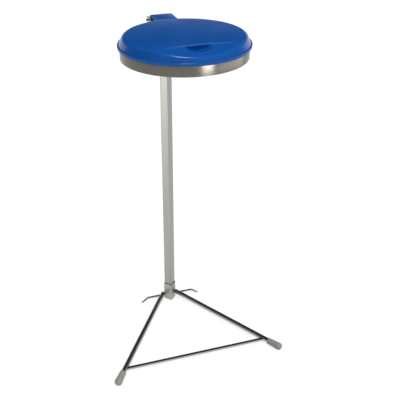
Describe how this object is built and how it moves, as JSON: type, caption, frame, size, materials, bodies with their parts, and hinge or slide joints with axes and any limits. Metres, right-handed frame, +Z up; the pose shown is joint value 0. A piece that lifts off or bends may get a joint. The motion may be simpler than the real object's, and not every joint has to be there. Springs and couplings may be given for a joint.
{
  "type": "bin bag holder",
  "caption": "Free-standing bag holder: a square post on a bar base carries a steel ring for a waste bag under a hinged moulded lid.",
  "frame": {"origin": "on the floor, under the centre of the whole holder's box", "axes": "+Z up along the post; the front, where the lid lifts, towards -Y; +X to the right seen from the front"},
  "size_m": [0.6094, 0.4644, 1.1161],
  "materials": {
    "galvanised_steel": "galvanised, satin",
    "bright_zinc_bar": "bright zinc plated",
    "zinc_fastener": "zinc plated",
    "brushed_steel_strip": "brushed strip",
    "grey_cap_plastic": "moulded polyethylene",
    "blue_lid_plastic": "moulded polypropylene, satin gloss"
  },
  "bodies": {
    "stand": {"base_sleeve": "galvanised_steel", "rear_bar": "bright_zinc_bar", "leg_left": "bright_zinc_bar", "leg_right": "bright_zinc_bar", "front_crossbar": "bright_zinc_bar", "foot_cap_left": "grey_cap_plastic", "foot_cap_right": "grey_cap_plastic", "post": "galvanised_steel", "head_sleeve": "galvanised_steel", "hinge_bracket": "galvanised_steel", "weld_nuts": "zinc_fastener", "clamp_screws": "zinc_fastener", "ring_band": "brushed_steel_strip", "clamp_hoop": "bright_zinc_bar", "hinge_pin": "zinc_fastener", "hinge_washers": "zinc_fastener", "split_pin": "zinc_fastener"},
    "lid": {"lid": "blue_lid_plastic"}
  },
  "joints": [
    {"name": "lid_hinge", "type": "hinge", "parent": "stand", "child": "lid", "pos_m": [0, 0.212, 1.0951], "axis": [-1, 0, 0], "range_deg": [0, 100]}
  ]
}
